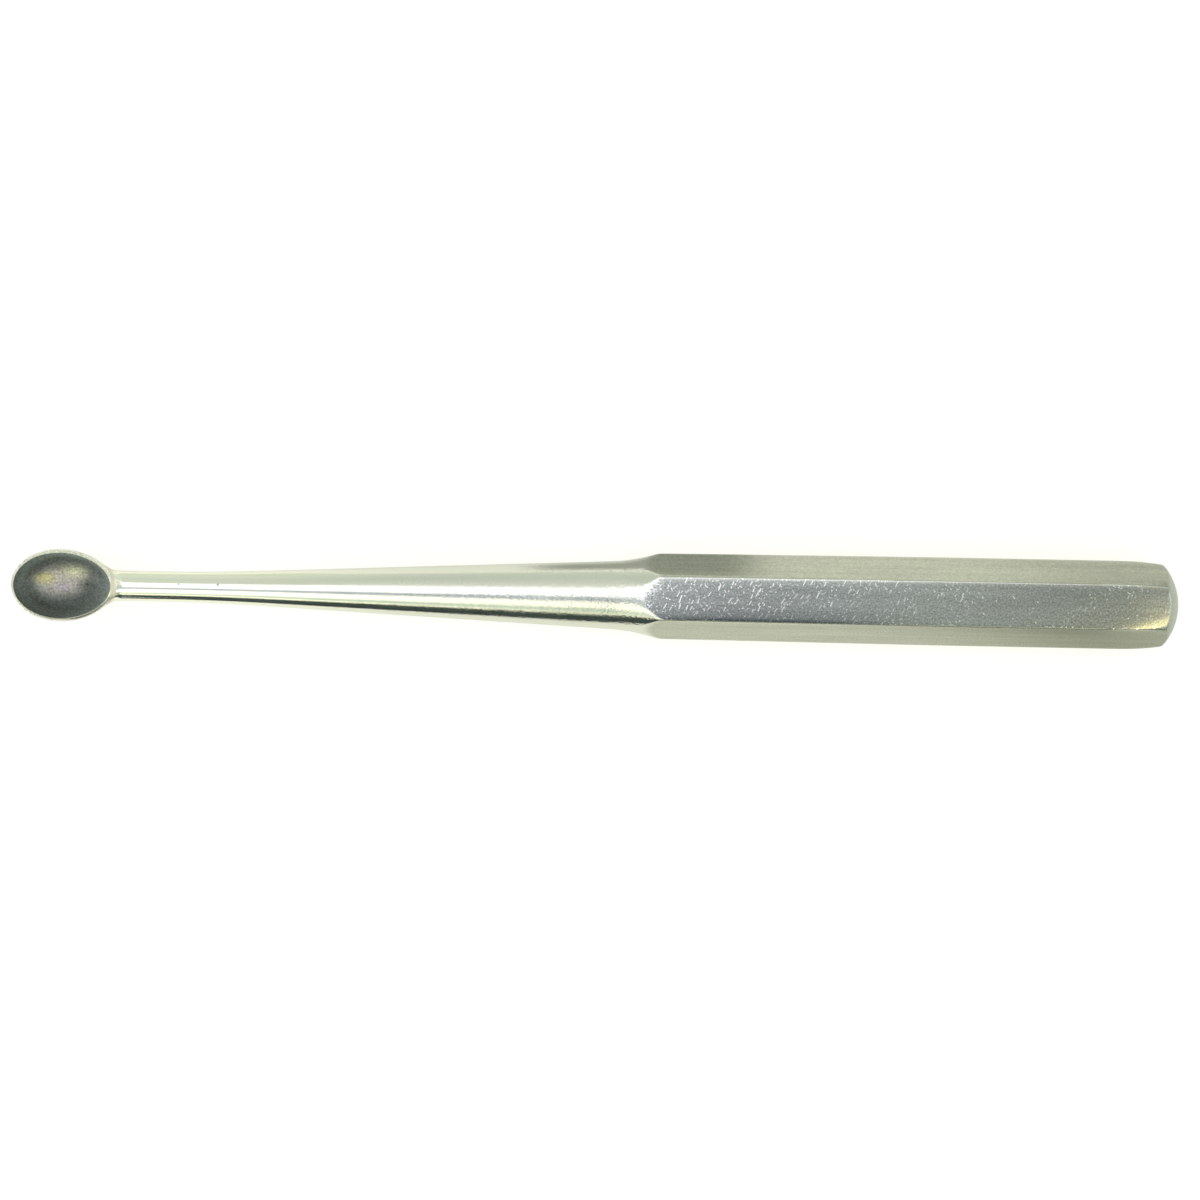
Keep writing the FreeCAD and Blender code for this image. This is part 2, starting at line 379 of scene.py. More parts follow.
def cup_level(u, y, z):
    """Distance outside the cup's back and its upright wall, close to the surface."""
    along = (u - CUP_CENTRE) / CUP_HALF_LENGTH
    across = y / narrowing(u) / CUP_HALF_WIDTH
    down = np.minimum(z - RIM_FOOT, 0) / CUP_BACK_DEPTH
    size = np.sqrt(along ** 2 + across ** 2 + down ** 2) + TINY
    slopes = [along / CUP_HALF_LENGTH, across / CUP_HALF_WIDTH, down / CUP_BACK_DEPTH]
    steepness = np.sqrt(sum(slope ** 2 for slope in slopes)) + TINY
    return (size - 1) * size / steepness


def nick_depth(u, y):
    """Depth of the small nicks that use has left in the edge of the cup."""
    turn = np.arctan2(y / CUP_HALF_WIDTH, (u - CUP_CENTRE) / CUP_HALF_LENGTH)
    nicks = np.random.default_rng(5)
    depth = np.zeros_like(turn)
    for low, high, count, deepest in NICKED:
        places = nicks.uniform(math.radians(low), math.radians(high), count)
        depths = nicks.uniform(NICK_SHALLOWEST, 1.0, count) * deepest
        for place, most in zip(places, depths):
            depth += most * np.exp(-((turn - place) / NICK_WIDTH) ** 2)
    return depth


def kept_level(u, y, z):
    """Distance outside what grinding the rim leaves: its bevel and the crown of the root."""
    outset = (RIM_HEIGHT - z) * BEVEL_WIDTH / BEVEL_HEIGHT
    along = (u - CUP_CENTRE) / (MOUTH_HALF_LENGTH + outset)
    across = y / narrowing(u) / (MOUTH_HALF_WIDTH + outset)
    below_edge = np.clip((RIM_HEIGHT - z) / BEVEL_HEIGHT, 0, 1)
    bevel = (np.hypot(along, across) - 1) * MOUTH_HALF_WIDTH + nick_depth(u, y) * below_edge
    crown = np.hypot(y / ROOT_CROWN_HALF_WIDTH, (z - AXIS_HEIGHT) / ROOT_CROWN_HALF_HEIGHT) - 1
    crown = crown * ROOT_CROWN_HALF_HEIGHT + np.maximum(CROWN_START - u, 0)
    crown = crown - CROWN_RELEASE * np.maximum(u - CROWN_END, 0)
    kept = -soft_max([-bevel, -crown], CROWN_SHARPNESS)
    return np.where(z > AXIS_HEIGHT, kept, -1)


def skin_level(u, y, z):
    """Negative inside the instrument, with its cup still full, and positive outside."""
    turned = turned_level(u, y, z) + NECK_FRONT_SLOPE * np.maximum(NECK_FRONT - u, 0)
    cup = cup_level(u, y, z)
    near = np.hypot(np.maximum(CUP_ROOT_RADIUS - turned, 0), np.maximum(CUP_ROOT_RADIUS - cup, 0))
    joined = np.maximum(CUP_ROOT_RADIUS, np.minimum(turned, cup)) - near
    front = soft_max([joined, kept_level(u, y, z), z - RIM_HEIGHT], FRONT_SHARPNESS)
    dome, ease = end_level(u, y, z)
    eased = soft_max([hexagon_level(u, y, z), ease], END_SHARPNESS)
    rear = soft_max([turned, eased, dome], EDGE_SHARPNESS)
    return np.where(u < FRONT_END, front, rear)


def oval_share(u, half_length):
    """Half width at station u of an oval round the middle of the cup, over its largest half width."""
    return np.sqrt(np.clip(1 - ((u - CUP_CENTRE) / half_length) ** 2, 0, 1))


def ray_centre(u):
    """Height of a point inside the section at station u from which all of its outline is seen."""
    depth = RAY_DEPTH * CUP_BACK_DEPTH
    before = np.maximum(AXIS_HEIGHT, RIM_FOOT - depth * oval_share(u, CUP_HALF_LENGTH))
    settled = np.clip((u - CUP_CENTRE) / (RAY_SETTLED - CUP_CENTRE), 0, 1)
    behind = RIM_FOOT - depth + (AXIS_HEIGHT - (RIM_FOOT - depth)) * settled
    risen = np.clip((u - DOME_START + RAY_RISE) / RAY_RISE, 0, 1)
    return np.where(u < CUP_CENTRE, before, behind + (REAR_AXIS_HEIGHT - AXIS_HEIGHT) * risen)


def flat_outline(turn):
    """Distance from the middle of a hexagon to its outline, over the apothem, in each direction."""
    return 1 / np.cos((turn % (math.pi / 3)) - math.pi / 6)


def station_where_turned(radius):
    """Station on the shoulder where the turned blank has this radius."""
    stations = np.linspace(*SHOULDER_SEARCH)
    return np.interp(radius, blank_radius(stations), stations)


def column_angles():
    """Angles of the columns on a full ring, clockwise from just off the top and closer at the ridges."""
    count = SKIN_COLUMNS - 2 * BEVEL_COLUMNS
    even = np.linspace(math.pi / 2 - TOP_SLIVER, -1.5 * math.pi + TOP_SLIVER, count)
    return even - RIDGE_CROWDING / 6 * np.sin(6 * even)


def ring_angles(first, foot):
    """Angles of all columns of some rows; each row's bevel starts at its first and ends at its foot."""
    full = column_angles()
    share = (full[0] - full) / (full[0] - full[-1])
    middle = foot + (-math.pi - 2 * foot) * share
    steps = np.arange(BEVEL_COLUMNS) / BEVEL_COLUMNS
    start = first + (foot - first) * steps
    end = (-math.pi - start)[:, ::-1]
    return np.hstack([start, middle, end])


def crowded(start, end, count, power):
    """Values from start to just before end, closer together at the start."""
    return [start + (end - start) * (k / count) ** power for k in range(count)]


def row_stations():
    """Station of each vertex of the skin, one row of columns each, and the named rows."""
    upright = [(CUP_CENTRE - MOUTH_HALF_LENGTH) * (i / TIP_ROWS) ** 2 for i in range(1, TIP_ROWS)]
    named = {"mouth_first": len(upright)}
    for phase in np.linspace(0, math.pi, MOUTH_ROWS):
        upright.append(CUP_CENTRE - MOUTH_HALF_LENGTH * math.cos(phase))
    named["mouth_last"] = len(upright) - 1
    for reach, count in NECK_ROWS:
        upright += np.linspace(upright[-1], reach, count + 1)[1:].tolist()
    ring = ring_angles(np.array([[math.pi / 2]]), np.array([[math.pi / 2 - TOP_SLIVER]]))[0]
    rows = [np.full_like(ring, u) for u in upright]
    crease = station_where_turned(flat_outline(ring) * half_flats(GRIP_START))
    rows += crowded(crease, upright[-1], SHOULDER_ROWS, SHOULDER_CROWDING)[:0:-1]
    named["grip_first"] = len(rows)
    reach = np.minimum(flat_outline(ring) * REAR_AXIS_HEIGHT, DOME_BASE_RADIUS)
    dome_edge = DOME_CENTRE + np.sqrt(DOME_RADIUS ** 2 - reach ** 2)
    middle = (crease + dome_edge) / 2
    rows += crowded(crease, middle, HALF_GRIP_ROWS, GRIP_CROWDING) + [middle]
    rows += crowded(dome_edge, middle, HALF_GRIP_ROWS, GRIP_CROWDING)[:0:-1]
    named["dome_first"] = len(rows)
    angles = crowded(np.arcsin(reach / DOME_RADIUS), 0, DOME_ROWS, DOME_CROWDING)
    rows += [DOME_CENTRE + DOME_RADIUS * np.cos(angle) for angle in angles]
    return np.array(rows), named


def row_angles(stations):
    """Direction of each vertex of the skin round its section."""
    u = stations.mean(axis=1, keepdims=True)
    low = ray_centre(u)
    mouth = MOUTH_HALF_WIDTH * narrowing(u) * oval_share(u, MOUTH_HALF_LENGTH)
    brim = CUP_HALF_WIDTH * narrowing(u) * oval_share(u, CUP_HALF_LENGTH)
    first = np.arctan2(RIM_HEIGHT - low, mouth)
    foot = np.arctan2(RIM_FOOT - low, brim)
    return ring_angles(first, np.minimum(foot, first - TOP_SLIVER / 2))


def cast(stations, angles):
    """Points where rays from inside each section meet the skin."""
    centre = ray_centre(stations)
    inner = np.zeros_like(stations)
    outer = np.full_like(stations, RAY_REACH)
    for _ in range(RAY_HALVINGS):
        half = (inner + outer) / 2
        outside = skin_level(stations, half * np.cos(angles), centre + half * np.sin(angles)) > 0
        outer = np.where(outside, half, outer)
        inner = np.where(outside, inner, half)
    return np.stack([stations, inner * np.cos(angles), centre + inner * np.sin(angles)], axis=-1)


def hollow_points():
    """Points of the hollow between its two rims, one row for each row of the mouth but the outermost two."""
    phase = np.linspace(0, math.pi, MOUTH_ROWS)[1:-1, None]
    turn = np.linspace(0, math.pi, HOLLOW_COLUMNS + 1)[None, 1:-1]
    u = np.repeat(CUP_CENTRE - MOUTH_HALF_LENGTH * np.cos(phase), turn.size, axis=1)
    y = MOUTH_HALF_WIDTH * np.sin(phase) * np.cos(turn) * narrowing(u)
    z = RIM_HEIGHT - CUP_DEPTH * np.sin(phase) * np.sin(turn)
    return np.stack([u, y, z], axis=-1)


def grid_faces(index):
    """Four-sided faces over a grid of vertex numbers."""
    return np.stack([index[:-1, :-1], index[1:, :-1], index[1:, 1:], index[:-1, 1:]], axis=-1).reshape(-1, 4)


def skin_parts(rows, named):
    """Part of the instrument that each face of the skin belongs to."""
    row = np.repeat(np.arange(rows - 1), SKIN_COLUMNS - 1)
    column = np.tile(np.arange(SKIN_COLUMNS - 1), rows - 1)
    mouth = (row >= named["mouth_first"]) & (row < named["mouth_last"])
    bevel = (column < BEVEL_COLUMNS) | (column >= SKIN_COLUMNS - 1 - BEVEL_COLUMNS)
    behind = np.where(row >= named["grip_first"], FLATS, TURNED)
    part = np.where(row >= named["dome_first"], DOME, behind)
    return np.where(bevel & mouth, BEVEL, part)


def instrument_faces(index, hollow_index, named, tip, end):
    """Faces of the skin, the hollow, the tip and the end, and the part that each belongs to."""
    first, last = named["mouth_first"], named["mouth_last"]
    inner = np.hstack([index[first + 1:last, :1], hollow_index, index[first + 1:last, -1:]])
    front = np.full((1, inner.shape[1]), index[first, 0])
    back = np.full((1, inner.shape[1]), index[last, 0])
    inside = grid_faces(np.vstack([front, inner, back])[:, ::-1])
    columns = range(SKIN_COLUMNS - 1)
    at_tip = [[tip, index[0, c], index[0, c + 1], index[0, c + 1]] for c in columns]
    at_end = [[index[-1, c], end, end, index[-1, c + 1]] for c in columns]
    parts = [skin_parts(len(index), named)]
    for faces, part in ((inside, HOLLOW), (at_tip, TURNED), (at_end, DOME)):
        parts.append(np.full(len(faces), part))
    return np.vstack([grid_faces(index), inside, at_tip, at_end]), np.concatenate(parts)


def without_repeats(face):
    """Corners of a face with each vertex named once."""
    kept = [v for i, v in enumerate(face) if v != face[i - 1]]
    return kept if len(set(kept)) == len(kept) > 2 else []


def mark_rims(mesh):
    """Leaves the edges of the bevel crisp."""
    sides = {}
    for face in mesh.polygons:
        for key in face.edge_keys:
            sides.setdefault(key, set()).add(face.material_index)
    for edge in mesh.edges:
        edge.use_edge_sharp = sides[edge.key] in ({HOLLOW, BEVEL}, {HOLLOW, TURNED})


def add_marks(mesh):
    """Attributes for the finish: how far a flat is ground, how near a ridge is, and place on the flat."""
    places = np.empty(len(mesh.vertices) * 3)
    mesh.vertices.foreach_get("co", places)
    u, y, z = (places.reshape(-1, 3) / MM + MIDDLE).T
    half = half_flats(u)
    turn = np.arctan2(y, z - half)
    fade = np.where(np.abs(turn) < math.pi / 6, TOP_GROUND_FADE, SIDE_GROUND_FADE)
    ground = np.clip((hexagon_level(u, y, z) - turned_level(u, y, z)) / fade, 0, 1)
    across = half * np.tan((turn + math.pi / 6) % (math.pi / 3) - math.pi / 6)
    ridge = np.exp(-(half / math.sqrt(3) - np.abs(across)) / RIDGE_REACH)
    facet = np.floor((turn + math.pi / 6) / (math.pi / 3)) % 6
    for name, values in (("ground", ground), ("ridge", ridge), ("across", across), ("facet", facet)):
        layer = mesh.attributes.new(name, "FLOAT", "POINT")
        layer.data.foreach_set("value", values.astype(np.float32))


def skin_index(rows, named):
    """Vertex numbers of the skin, whose rows close on themselves except where the mouth is."""
    index = np.arange(rows * SKIN_COLUMNS).reshape(rows, SKIN_COLUMNS)
    closed = np.ones(rows, bool)
    closed[named["mouth_first"] + 1:named["mouth_last"]] = False
    index[closed, -1] = index[closed, 0]
    return index


def make_mesh(points, faces, parts):
    """Mesh of the faces that have an area, with the points that they use."""
    kept = [(without_repeats(face), part) for face, part in zip(faces.tolist(), parts.tolist())]
    kept = [(face, part) for face, part in kept if face]
    used = np.unique(np.concatenate([face for face, part in kept]))
    number = np.zeros(len(points), int)
    number[used] = np.arange(len(used))
    mesh = bpy.data.meshes.new("curette_skin")
    mesh.from_pydata(points[used].tolist(), [], [number[face].tolist() for face, part in kept])
    mesh.polygons.foreach_set("material_index", [part for face, part in kept])
    mesh.polygons.foreach_set("use_smooth", [True] * len(kept))
    mesh.update()
    return mesh


def make_instrument():
    """One closed mesh of the instrument, with a material slot for each part of its surface."""
    stations, named = row_stations()
    skin = cast(stations, row_angles(stations))
    index = skin_index(len(skin), named)
    hollow = hollow_points()
    hollow_index = index.size + np.arange(hollow[..., 0].size).reshape(hollow.shape[:2])
    ends = [[0, 0, RIM_FOOT], [TOTAL_LENGTH, 0, REAR_AXIS_HEIGHT]]
    points = np.vstack([skin.reshape(-1, 3), hollow.reshape(-1, 3), ends])
    faces, parts = instrument_faces(index, hollow_index, named, len(points) - 2, len(points) - 1)
    mesh = make_mesh((points - MIDDLE) * MM, faces, parts)
    mark_rims(mesh)
    add_marks(mesh)
    return mesh


def make_camera():
    """Camera above the instrument, tilted a little towards its far side."""
    back = Vector((0, math.sin(VIEW_TILT), math.cos(VIEW_TILT)))
    level_right = Vector((1, 0, 0))
    level_up = back.cross(level_right)
    right = level_right * math.cos(VIEW_ROLL) + level_up * math.sin(VIEW_ROLL)
    up = back.cross(right)
    data = bpy.data.cameras.new("camera")
    data.sensor_fit = "HORIZONTAL"
    data.angle = 2 * math.atan(VIEW_WIDTH / 2 / VIEW_DISTANCE)
    data.clip_start = NEAREST_SEEN
    camera = bpy.data.objects.new("camera", data)
    turn = Matrix((right, up, back)).transposed().to_4x4()
    camera.matrix_world = Matrix.Translation(VIEW_CENTRE + back * VIEW_DISTANCE) @ turn
    bpy.context.collection.objects.link(camera)
    bpy.context.scene.camera = camera


def node(tree, kind, inputs=None, **settings):
    """New shader node with its settings and its inputs: plain values, or (node, output) for a link."""
    made = tree.nodes.new(kind)
    for name, value in settings.items():
        setattr(made, name, value)
    for name, value in (inputs or {}).items():
        if isinstance(value, tuple) and hasattr(value[0], "outputs"):
            feed(tree, made, name, value)
        else:
            made.inputs[name].default_value = value
    return made


def feed(tree, fed, name, value):
    """Links a (node, output) to an input of a node."""
    source, output = value
    tree.links.new(source.outputs[output], fed.inputs[name])


def maths(tree, operation, first, second=0.0, third=0.0):
    """Result of a math node, as (node, output)."""
    return node(tree, "ShaderNodeMath", {0: first, 1: second, 2: third}, operation=operation), 0


def vectors(tree, operation, first, second, output=0):
    """Result of a vector math node, as (node, output)."""
    return node(tree, "ShaderNodeVectorMath", {0: first, 1: second}, operation=operation), output


def scaled(tree, vector, factor):
    """Vector or colour times a number, as (node, output)."""
    return node(tree, "ShaderNodeVectorMath", {0: vector, 3: factor}, operation="SCALE"), 0


def parts_of(tree, vector):
    """Node that gives the three parts of a vector."""
    return node(tree, "ShaderNodeSeparateXYZ", {0: vector})


def largest(tree, *values):
    """Largest of the values, as (node, output)."""
    most = values[0]
    for value in values[1:]:
        most = maths(tree, "MAXIMUM", most, value)
    return most


def between(tree, value, low, high, out_low=0.0, out_high=1.0):
    """Value taken smoothly from out_low at low to out_high at high, as (node, output)."""
    if low > high:
        low, high, out_low, out_high = high, low, out_high, out_low
    limits = {"From Min": low, "From Max": high, "To Min": out_low, "To Max": out_high}
    return node(tree, "ShaderNodeMapRange", {"Value": value, **limits}, interpolation_type="SMOOTHSTEP"), 0


def blended(tree, share, first, second):
    """Number from first at share 0 to second at share 1, as (node, output)."""
    return maths(tree, "MULTIPLY_ADD", share, maths(tree, "SUBTRACT", second, first), first)


def mixed(tree, share, first, second):
    """Colour from first at share 0 to second at share 1, as (node, output)."""
    return node(tree, "ShaderNodeMix", {0: share, 6: first, 7: second}, data_type="RGBA"), 2


def linear(colour, strength=1.0):
    """sRGB values out of 255 as a linear colour, times a strength."""
    parts = [c / 255 / 12.92 if c < 10.3 else ((c / 255 + 0.055) / 1.055) ** 2.4 for c in colour]
    return [c * strength for c in parts] + [1]


def colour_ramp(tree, share, stops):
    """Colour by the share, from stops of a share and a linear colour, as (node, output)."""
    made = node(tree, "ShaderNodeValToRGB", {0: share})
    elements = made.color_ramp.elements
    for place, colour in stops:
        elements.new(place).color = colour
    elements.remove(elements[0])
    elements.remove(elements[-1])
    return made, 0


def show(tree, surface, kind="ShaderNodeOutputMaterial"):
    """Ends the tree of a material or the world with this shader."""
    feed(tree, node(tree, kind), "Surface", (surface, 0))


def patched(tree, direction, lit, patch):
    """Light with a round soft-edged patch in it."""
    to_end, to_near, inner, outer, colour, strength = patch
    towards = (math.tan(math.radians(to_end)), -math.tan(math.radians(to_near)), 1)
    near = vectors(tree, "DOT_PRODUCT", direction, tuple(Vector(towards).normalized()), "Value")
    share = between(tree, near, math.cos(math.radians(outer)), math.cos(math.radians(inner)))
    return mixed(tree, share, lit, linear(colour, strength))


def make_world():
    """Studio round the instrument: its light changes with the angle from overhead towards the near side."""
    world = bpy.data.worlds.new("studio")
    world.use_nodes = True
    tree = world.node_tree
    tree.nodes.clear()
    direction = (node(tree, "ShaderNodeTexCoord"), "Generated")
    split = parts_of(tree, direction)
    angle = maths(tree, "ARCTAN2", maths(tree, "MULTIPLY", (split, "Y"), -1.0), (split, "Z"))
    share = node(tree, "ShaderNodeMapRange", {"Value": angle, "From Min": -math.pi, "From Max": math.pi})
    stops = [((degrees + 180) / 360, linear(colour, strength)) for degrees, colour, strength in STUDIO]
    lit = colour_ramp(tree, (share, 0), stops)
    for patch in PATCHES:
        lit = patched(tree, direction, lit, patch)
    path = node(tree, "ShaderNodeLightPath")
    seen = mixed(tree, (path, "Is Camera Ray"), lit, WHITE)
    show(tree, node(tree, "ShaderNodeBackground", {"Color": seen}), "ShaderNodeOutputWorld")
    bpy.context.scene.world = world


def empty_material(name):
    """Material with no nodes, and its tree."""
    material = bpy.data.materials.new(name)
    material.use_nodes = True
    material.node_tree.nodes.clear()
    return material, material.node_tree


def make_floor():
    """White paper, which shows a faint shadow."""
    bpy.ops.mesh.primitive_plane_add(size=FLOOR_SIZE)
    floor = bpy.context.object
    floor.name = "floor"
    material, tree = empty_material("paper")
    paper = node(tree, DIFFUSE, {"Color": PAPER_COLOUR})
    glow = node(tree, GLOWING, {"Color": WHITE})
    path = node(tree, "ShaderNodeLightPath")
    mirrored = maths(tree, "MAXIMUM", (path, "Is Glossy Ray"), (path, "Is Transmission Ray"))
    share = maths(tree, "MULTIPLY", mirrored, MIRRORED_GLOW)
    lit = node(tree, "ShaderNodeMixShader", {0: share, 1: (paper, 0), 2: (glow, 0)})
    shade = node(tree, DIFFUSE, {"Color": SEEN_PAPER_SHADE})
    white = node(tree, GLOWING, {"Color": SEEN_PAPER_GLOW})
    bright = node(tree, "ShaderNodeAddShader", {0: (shade, 0), 1: (white, 0)})
    seen = (path, "Is Camera Ray")
    show(tree, node(tree, "ShaderNodeMixShader", {0: seen, 1: (lit, 0), 2: (bright, 0)}))
    floor.data.materials.append(material)


def soft_card_share(tree, corners, soft_edge):
    """How solid a card with soft edges is, as (node, output)."""
    parts = parts_of(tree, place_in_mm(tree))
    solid = 1.0
    for axis, soft in enumerate(soft_edge):
        low, high = min(c[axis] for c in corners), max(c[axis] for c in corners)
        solid = maths(tree, "MULTIPLY", solid, between(tree, (parts, axis), low, low + soft))
        solid = maths(tree, "MULTIPLY", solid, between(tree, (parts, axis), high, high - soft))
    return solid


def make_card(name, height, corners, shader, colour, soft_edge):
    """Level card which only shows in the metal; all lengths are in millimetres."""
    mesh = bpy.data.meshes.new(name)
    mesh.from_pydata([(x * MM, y * MM, height * MM) for x, y in corners], [], [range(len(corners))])
    material, tree = empty_material(name)
    solid = soft_card_share(tree, corners, soft_edge) if soft_edge else 1.0
    front = node(tree, shader, {"Color": (*colour, 1)})
    clear = node(tree, "ShaderNodeBsdfTransparent")
    show(tree, node(tree, "ShaderNodeMixShader", {0: solid, 1: (clear, 0), 2: (front, 0)}))
    mesh.materials.append(material)
    card = bpy.data.objects.new(name, mesh)
    card.visible_camera = False
    card.visible_diffuse = False
    card.visible_shadow = False
    bpy.context.collection.objects.link(card)


def new_metal(name):
    """Metal material, its node tree and its shader."""
    material = bpy.data.materials.new(name)
    material.use_nodes = True
    shader = material.node_tree.nodes["Principled BSDF"]
    shader.inputs["Metallic"].default_value = 1
    return material, material.node_tree, shader


def place_in_mm(tree):
    """Place on the instrument in millimetres from its middle, as (node, output)."""
    return scaled(tree, (node(tree, "ShaderNodeTexCoord"), "Object"), 1 / MM)


def attribute(tree, name):
    """Attribute of the mesh, as (node, output)."""
    return node(tree, "ShaderNodeAttribute", attribute_name=name), "Fac"


def stretched_noise(tree, place, stretch, scale, detail=3.0):
    """Noise over places whose three parts are each multiplied by a stretch, as (node, output)."""
    moved = node(tree, "ShaderNodeMapping", {"Vector": place, "Scale": stretch})
    return node(tree, "ShaderNodeTexNoise", {"Vector": (moved, 0), "Scale": scale, "Detail": detail}), 0


def bumps(tree, height, depth):
    """Normals of a surface whose heights of 0 to 1 stand for a depth in millimetres, as (node, output)."""
    return node(tree, "ShaderNodeBump", {"Strength": 1.0, "Distance": depth * MM, "Height": height}), 0


def oval_radius(tree, place, middle, half_sizes):
    """Distance from a middle seen from above, in half lengths and half widths of an oval."""
    away = vectors(tree, "SUBTRACT", place, middle)
    reach = vectors(tree, "MULTIPLY", away, (1 / half_sizes[0], 1 / half_sizes[1], 0))
    return vectors(tree, "LENGTH", reach, (0, 0, 0), "Value")


def with_spot(tree, place, colour, spot, half_sizes, spot_colour, strength):
    """Colour with an oval soft-edged spot in it, seen from above."""
    share = between(tree, oval_radius(tree, place, spot, half_sizes), 1.0, 0.0, 0.0, strength)
    return mixed(tree, share, colour, linear(spot_colour))


def scratches(tree, flat, cell, length, width, lean, spread, kept, shift):
    """Short straight scratches over a flat, at most one to a cell, as (node, output)."""
    grid = {"Location": (shift, shift, 0), "Scale": (1 / cell,) * 3}
    moved = node(tree, "ShaderNodeMapping", {"Vector": flat, **grid}), 0
    cells = node(tree, "ShaderNodeTexVoronoi", {"Vector": moved, "Scale": 1.0}, voronoi_dimensions="2D")
    offset = vectors(tree, "SUBTRACT", moved, (cells, "Position"))
    chance = parts_of(tree, (cells, "Color"))
    turn = maths(tree, "MULTIPLY_ADD", (chance, "X"), -2 * spread, spread - math.radians(lean))
    turned = node(tree, "ShaderNodeVectorRotate", {"Vector": offset, "Angle": turn}, rotation_type="Z_AXIS")
    parts = parts_of(tree, (turned, 0))
    reach = maths(tree, "MULTIPLY", (chance, "Y"), length / 2 / cell)
    in_length = maths(tree, "LESS_THAN", maths(tree, "ABSOLUTE", (parts, "X")), reach)
    beside = maths(tree, "ABSOLUTE", (parts, "Y"))
    line = maths(tree, "MULTIPLY", in_length, between(tree, beside, width / 2 / cell, width / 5 / cell))
    present = maths(tree, "LESS_THAN", (chance, "Z"), kept)
    strength = blended(tree, (chance, "X"), SCRATCH_FAINTEST, 1.0)
    return maths(tree, "MULTIPLY", maths(tree, "MULTIPLY", line, present), strength)


def polished_steel():
    """Neck and shoulder, polished lengthwise over faint turning marks that grow towards the grip."""
    material, tree, shader = new_metal("polished_steel")
    place = place_in_mm(tree)
    along = (parts_of(tree, place), "X")
    marks = stretched_noise(tree, place, *MARK_NOISE)
    height = maths(tree, "MULTIPLY", marks, between(tree, along, *MARKS_GROW))
    clouds = stretched_noise(tree, place, *CLOUD_NOISE)
    smooth = between(tree, clouds, *NECK_ROUGHNESS)
    at_rim = between(tree, oval_radius(tree, place, MOUTH_MIDDLE, MOUTH_SIZE), *RIM_REACH)
    # The neck is lighter towards the cup.
    colour = mixed(tree, between(tree, along, *BRIGHT_FADE), LIGHTER_NECK_COLOUR, POLISHED_COLOUR)
    colour = mixed(tree, at_rim, colour, RIM_DULL)
    for spot, size in PITS:
        colour = with_spot(tree, place, colour, spot, (size, size), PIT_COLOUR, PIT_STRENGTH)
    feed(tree, shader, "Base Color", colour)
    feed(tree, shader, "Roughness", maths(tree, "MULTIPLY_ADD", at_rim, RIM_ROUGHER, smooth))
    feed(tree, shader, "Normal", bumps(tree, height, TURNING_MARKS))
    return material


def streaked(tree, flat, brushing, grain, on_top):
    """Factor for the colour of the flats: streaks of the brushing, and a grain that is stronger on top."""
    broad = maths(tree, "SUBTRACT", stretched_noise(tree, flat, *BROAD_NOISE), 0.5)
    fine = maths(tree, "SUBTRACT", brushing, 0.5)
    grainy = maths(tree, "SUBTRACT", grain, 0.5)
    tone = maths(tree, "MULTIPLY_ADD", broad, BROAD_STREAKS, 1.0)
    tone = maths(tree, "MULTIPLY_ADD", fine, FINE_STREAKS, tone)
    return maths(tree, "MULTIPLY_ADD", grainy, blended(tree, on_top, SIDE_GRAIN, TOP_GRAIN), tone)


def wear_and_highlight_share(tree, flat, along, across, grain):
    """Wear of the upper flat, painted white as highlights: clustered scratches, sparks, dings at its near
    ridge, and a painted highlight at its tip.
    """
    steep, short, dots, sparks, dings = [scratches(tree, flat, *kind) for kind in SCRATCHES]
    clusters = stretched_noise(tree, flat, *CLUSTER_NOISE)
    for place, fade in ((along, MORE_TO_FRONT), (across, MORE_TO_FAR_RIDGE), (along, MORE_AT_TIP)):
        clusters = maths(tree, "ADD", clusters, between(tree, place, *fade))
    shown = between(tree, clusters, *CLUSTERS_SHOWN)
    scratched = maths(tree, "MULTIPLY", largest(tree, steep, short, dots), shown)
    dinged = maths(tree, "MULTIPLY", dings, between(tree, across, *DINGED))
    # Painted highlight at the front tip of the upper flat, broken up by the grain
    tip = maths(tree, "MULTIPLY", between(tree, along, *TIP_ALONG), between(tree, across, *TIP_ACROSS))
    tip_highlight = maths(tree, "MULTIPLY", tip, between(tree, grain, *BRIGHT_GRAIN))
    return largest(tree, scratched, sparks, tip_highlight, dinged)


def flat_roughness(tree, on_top, ground, smoother):
    """Roughness of the flats, polished where they are not ground and smoother where they are worn."""
    brushed = blended(tree, on_top, FLAT_ROUGHNESS, TOP_FLAT_ROUGHNESS)
    rough = blended(tree, ground, POLISHED_ROUGHNESS, brushed)
    for share in smoother:
        rough = maths(tree, "MULTIPLY_ADD", share, -WORN_SMOOTHER, rough)
    return rough


